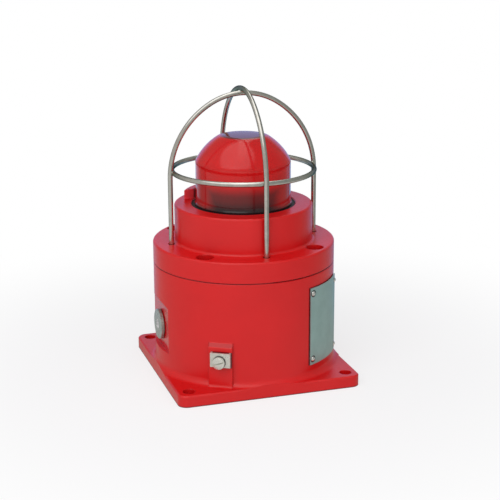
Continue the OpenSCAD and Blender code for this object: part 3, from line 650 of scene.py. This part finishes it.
def floor_in_gloss(tree, r, toward):
    """Colour of the floor in a reflection: the room's near the object, and bluish far behind it."""
    far = tree.blend(tree.step(tree.dot(toward, ROOM_LEFT_SIDE), FAR_LIMITS), ROOM_RIGHT, ROOM_FAR)
    colour = tree.blend(tree.step(r, FAR_R), ROOM, far)
    back = tree.blend(tree.step(tree.dot(toward, RIGHT_SIDE), BACK_SIDES), FLOOR_BACK_LEFT, FLOOR_BACK_RIGHT)
    return tree.blend(tree.step(tree.dot(toward, BEHIND), BACK_LIMITS), colour, back)


def floor_material():
    """Pale floor. It keeps the object's shadow near it, and runs out to the white of the background."""
    material, tree = new_material("floor")
    place = tree.place()
    r = tree.length(*tree.axes(place)[:2])
    toward = tree.add("VectorMath", {0: place}, operation="NORMALIZE").outputs[0]
    ray = tree.add("LightPath").outputs
    dim = tree.product(ray["Is Diffuse Ray"], tree.fade(tree.dot(toward, FLOOR_FRONT), LIGHT_LIMITS))
    matt = tree.add("BsdfDiffuse", {"Color": tree.blend(dim, FLOOR, FLOOR_DIM)})
    white = tree.add("Emission", {"Color": WHITE, "Strength": 1.0})
    share = tree.product(ray["Is Camera Ray"], tree.step(r, SHADOW_R, SHADOW_WHITE, 1.0))
    lit = tree.add("MixShader", {0: share, 1: matt.outputs[0], 2: white.outputs[0]})
    gloss = tree.add("Emission", {"Color": floor_in_gloss(tree, r, toward), "Strength": 1.0})
    mix = tree.add("MixShader", {0: ray["Is Glossy Ray"], 1: lit.outputs[0], 2: gloss.outputs[0]})
    tree.add("OutputMaterial", {0: mix.outputs[0]})
    return material


def make_floor():
    """Square floor under the object, which isn't a part of it."""
    mesh = bpy.data.meshes.new("floor")
    h = FLOOR_HALF
    mesh.from_pydata([(-h, -h, 0), (h, -h, 0), (h, h, 0), (-h, h, 0)], [], [(0, 1, 2, 3)])
    mesh.materials.append(floor_material())
    floor = bpy.data.objects.new("floor", mesh)
    floor.location.z = -FLOOR_DROP
    bpy.context.scene.collection.objects.link(floor)


def room_in_gloss(tree, toward):
    """Colour of the room in a reflection: a softbox above and to the left, a strip high up behind, and a
    lavender backdrop low down behind."""
    up = tree.axes(toward)[2]
    colour = tree.blend(tree.step(tree.dot(toward, ROOM_LEFT_SIDE), ROOM_LIMITS), ROOM_RIGHT, ROOM)
    backdrop = tree.blend(tree.step(up, BACKDROP_TONE_HEIGHTS), BACKDROP, BACKDROP_HIGH)
    low = tree.product(tree.step(tree.dot(toward, BEHIND), BACKDROP_LIMITS), tree.fade(up, BACKDROP_HEIGHTS))
    colour = tree.blend(low, colour, backdrop)
    colour = tree.blend(tree.step(tree.dot(toward, SOFTBOX_MIDDLE), SOFTBOX_LIMITS), colour, SOFTBOX)
    beside = tree.math("ABSOLUTE", tree.dot(toward, STRIP_SIDE))
    along = tree.step(tree.dot(toward, STRIP_MIDDLE), STRIP_LIMITS)
    return tree.blend(tree.product(tree.fade(beside, STRIP_WIDTHS), along), colour, STRIP)


def make_world():
    """White to the camera and through glass, a studio to gloss, and a soft light to the rest."""
    world = bpy.data.worlds.new("world")
    world.use_nodes = True
    bpy.context.scene.world = world
    tree = Tree(world.node_tree)
    toward = tree.add("TexCoord").outputs["Generated"]
    ray = tree.add("LightPath").outputs
    soft = tree.blend(tree.step(tree.dot(toward, AMBIENT_SIDE), LIGHT_LIMITS), AMBIENT_BACK, AMBIENT)
    colour = tree.blend(ray["Is Glossy Ray"], soft, room_in_gloss(tree, toward))
    colour = tree.blend(tree.greatest(ray["Is Camera Ray"], ray["Is Transmission Ray"]), colour, WHITE)
    background = tree.add("Background", {"Color": colour, "Strength": 1.0})
    tree.add("OutputWorld", {0: background.outputs[0]})


# Lamps, which shine at the middle of the object: direction, distance, size and level
LAMPS = {
    "key": (studio(-28, 36), 1.7, 1.1, 0.32),
    "top": (studio(-5, 68), 1.5, 1.0, 0.155),
    "fill": (studio(32, 22), 2.0, 1.2, 0.12),
}
LAMP_TARGET_Z = 120 * MM


def make_lamp(name, back, distance, size, level):
    """Square soft lamp. Level is how bright a white surface that faces it becomes."""
    data = bpy.data.lights.new(name, "AREA")
    data.shape = "SQUARE"
    data.size = size
    data.energy = level * math.pi ** 2 * distance ** 2
    lamp = bpy.data.objects.new(name, data)
    turn = back.to_track_quat("Z", "Y").to_matrix().to_4x4()
    lamp.matrix_world = Matrix.Translation(UP * LAMP_TARGET_Z + back * distance) @ turn
    lamp.visible_camera = False
    lamp.visible_glossy = False
    bpy.context.scene.collection.objects.link(lamp)


bpy.context.scene.view_settings.view_transform = "Standard"
dress_outside()
dress_inside()
make_camera()
make_floor()
make_world()
for lamp_name, lamp_settings in LAMPS.items():
    make_lamp(lamp_name, *lamp_settings)
